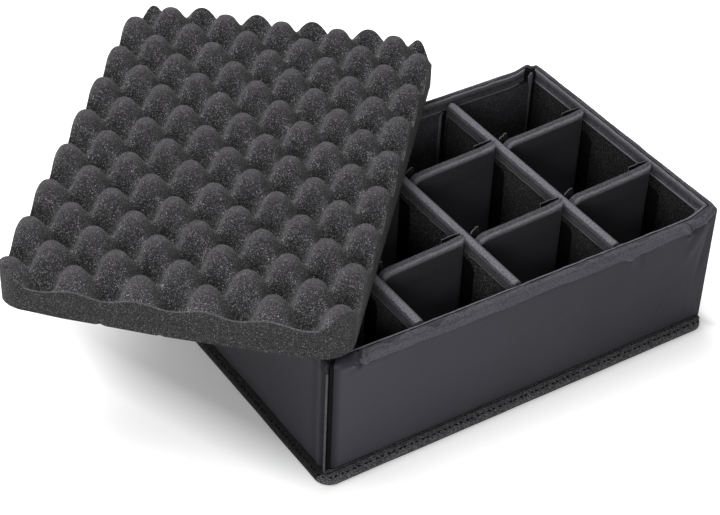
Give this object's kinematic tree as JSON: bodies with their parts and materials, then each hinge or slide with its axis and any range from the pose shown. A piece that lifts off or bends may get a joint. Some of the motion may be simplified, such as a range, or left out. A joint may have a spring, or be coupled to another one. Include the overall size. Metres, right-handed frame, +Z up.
{
  "type": "padded divider insert",
  "caption": "Open padded fabric tray with adjustable hook-and-loop dividers and a convoluted foam pad resting across its rim.",
  "frame": {"origin": "on the floor under the middle of the tray, at the base's underside", "axes": "+X along the tray's long side to the right, +Y from its front to its back, +Z up"},
  "size_m": [0.5385, 0.4519, 0.1609],
  "materials": {
    "satin_nylon": "satin woven nylon",
    "woven_tape": "matt woven tape",
    "loop_velour": "brushed loop pile",
    "hook_strip": "hook strip",
    "core_foam": "closed-cell foam, hidden",
    "base_board": "stiff board, hidden",
    "pad_foam": "open-cell foam"
  },
  "bodies": {
    "tray": {"base_underside": "satin_nylon", "base_board": "base_board", "base_lining": "loop_velour", "base_hem_tape": "woven_tape", "front_wall_cover": "satin_nylon", "front_wall_core": "core_foam", "front_wall_lining": "loop_velour", "right_wall_cover": "satin_nylon", "right_wall_core": "core_foam", "right_wall_lining": "loop_velour", "back_wall_cover": "satin_nylon", "back_wall_core": "core_foam", "back_wall_lining": "loop_velour", "left_wall_cover": "satin_nylon", "left_wall_core": "core_foam", "left_wall_lining": "loop_velour", "corner_tape_front_left": "satin_nylon", "corner_tape_front_right": "satin_nylon", "corner_tape_back_right": "satin_nylon", "corner_tape_back_left": "satin_nylon", "long_divider_left_panel": "loop_velour", "long_divider_left_binding": "satin_nylon", "long_divider_left_hook_front": "hook_strip", "long_divider_left_hook_back": "hook_strip", "long_divider_middle_panel": "loop_velour", "long_divider_middle_binding": "satin_nylon", "long_divider_middle_hook_front": "hook_strip", "long_divider_middle_hook_back": "hook_strip"},
    "right_long_divider": {"long_divider_right_panel": "loop_velour", "long_divider_right_binding": "satin_nylon", "long_divider_right_hook_front": "hook_strip", "long_divider_right_hook_back": "hook_strip"},
    "cross_divider_front_1": {"cross_divider_front_1_panel": "satin_nylon", "cross_divider_front_1_hook_left": "hook_strip", "cross_divider_front_1_hook_right": "hook_strip"},
    "cross_divider_front_2": {"cross_divider_front_2_panel": "satin_nylon", "cross_divider_front_2_hook_left": "hook_strip", "cross_divider_front_2_hook_right": "hook_strip"},
    "cross_divider_front_3": {"cross_divider_front_3_panel": "satin_nylon", "cross_divider_front_3_hook_left": "hook_strip", "cross_divider_front_3_hook_right": "hook_strip"},
    "cross_divider_front_4": {"cross_divider_front_4_panel": "satin_nylon", "cross_divider_front_4_hook_left": "hook_strip", "cross_divider_front_4_hook_right": "hook_strip"},
    "cross_divider_back_1": {"cross_divider_back_1_panel": "satin_nylon", "cross_divider_back_1_hook_left": "hook_strip", "cross_divider_back_1_hook_right": "hook_strip"},
    "cross_divider_back_2": {"cross_divider_back_2_panel": "satin_nylon", "cross_divider_back_2_hook_left": "hook_strip", "cross_divider_back_2_hook_right": "hook_strip"},
    "cross_divider_back_3": {"cross_divider_back_3_panel": "satin_nylon", "cross_divider_back_3_hook_left": "hook_strip", "cross_divider_back_3_hook_right": "hook_strip"},
    "cross_divider_back_4": {"cross_divider_back_4_panel": "satin_nylon", "cross_divider_back_4_hook_left": "hook_strip", "cross_divider_back_4_hook_right": "hook_strip"},
    "pad": {"foam_pad": "pad_foam"}
  },
  "joints": [
    {"name": "pad_lift", "type": "slide", "parent": "tray", "child": "pad", "axis": [0, 0, 1], "range_m": [0, 0.12]},
    {"name": "right_long_divider_lift", "type": "slide", "parent": "tray", "child": "right_long_divider", "axis": [0, 0, 1], "range_m": [0, 0.115]},
    {"name": "cross_divider_front_1_slide", "type": "slide", "parent": "tray", "child": "cross_divider_front_1", "axis": [0, 1, 0], "range_m": [-0.038, 0.028]},
    {"name": "cross_divider_front_2_slide", "type": "slide", "parent": "tray", "child": "cross_divider_front_2", "axis": [0, 1, 0], "range_m": [-0.038, 0.028]},
    {"name": "cross_divider_front_3_slide", "type": "slide", "parent": "tray", "child": "cross_divider_front_3", "axis": [0, 1, 0], "range_m": [-0.038, 0.028]},
    {"name": "cross_divider_front_4_slide", "type": "slide", "parent": "tray", "child": "cross_divider_front_4", "axis": [0, 1, 0], "range_m": [-0.038, 0.028]},
    {"name": "cross_divider_back_1_slide", "type": "slide", "parent": "tray", "child": "cross_divider_back_1", "axis": [0, 1, 0], "range_m": [-0.028, 0.038]},
    {"name": "cross_divider_back_2_slide", "type": "slide", "parent": "tray", "child": "cross_divider_back_2", "axis": [0, 1, 0], "range_m": [-0.028, 0.038]},
    {"name": "cross_divider_back_3_slide", "type": "slide", "parent": "tray", "child": "cross_divider_back_3", "axis": [0, 1, 0], "range_m": [-0.028, 0.038]},
    {"name": "cross_divider_back_4_slide", "type": "slide", "parent": "tray", "child": "cross_divider_back_4", "axis": [0, 1, 0], "range_m": [-0.028, 0.038]}
  ]
}
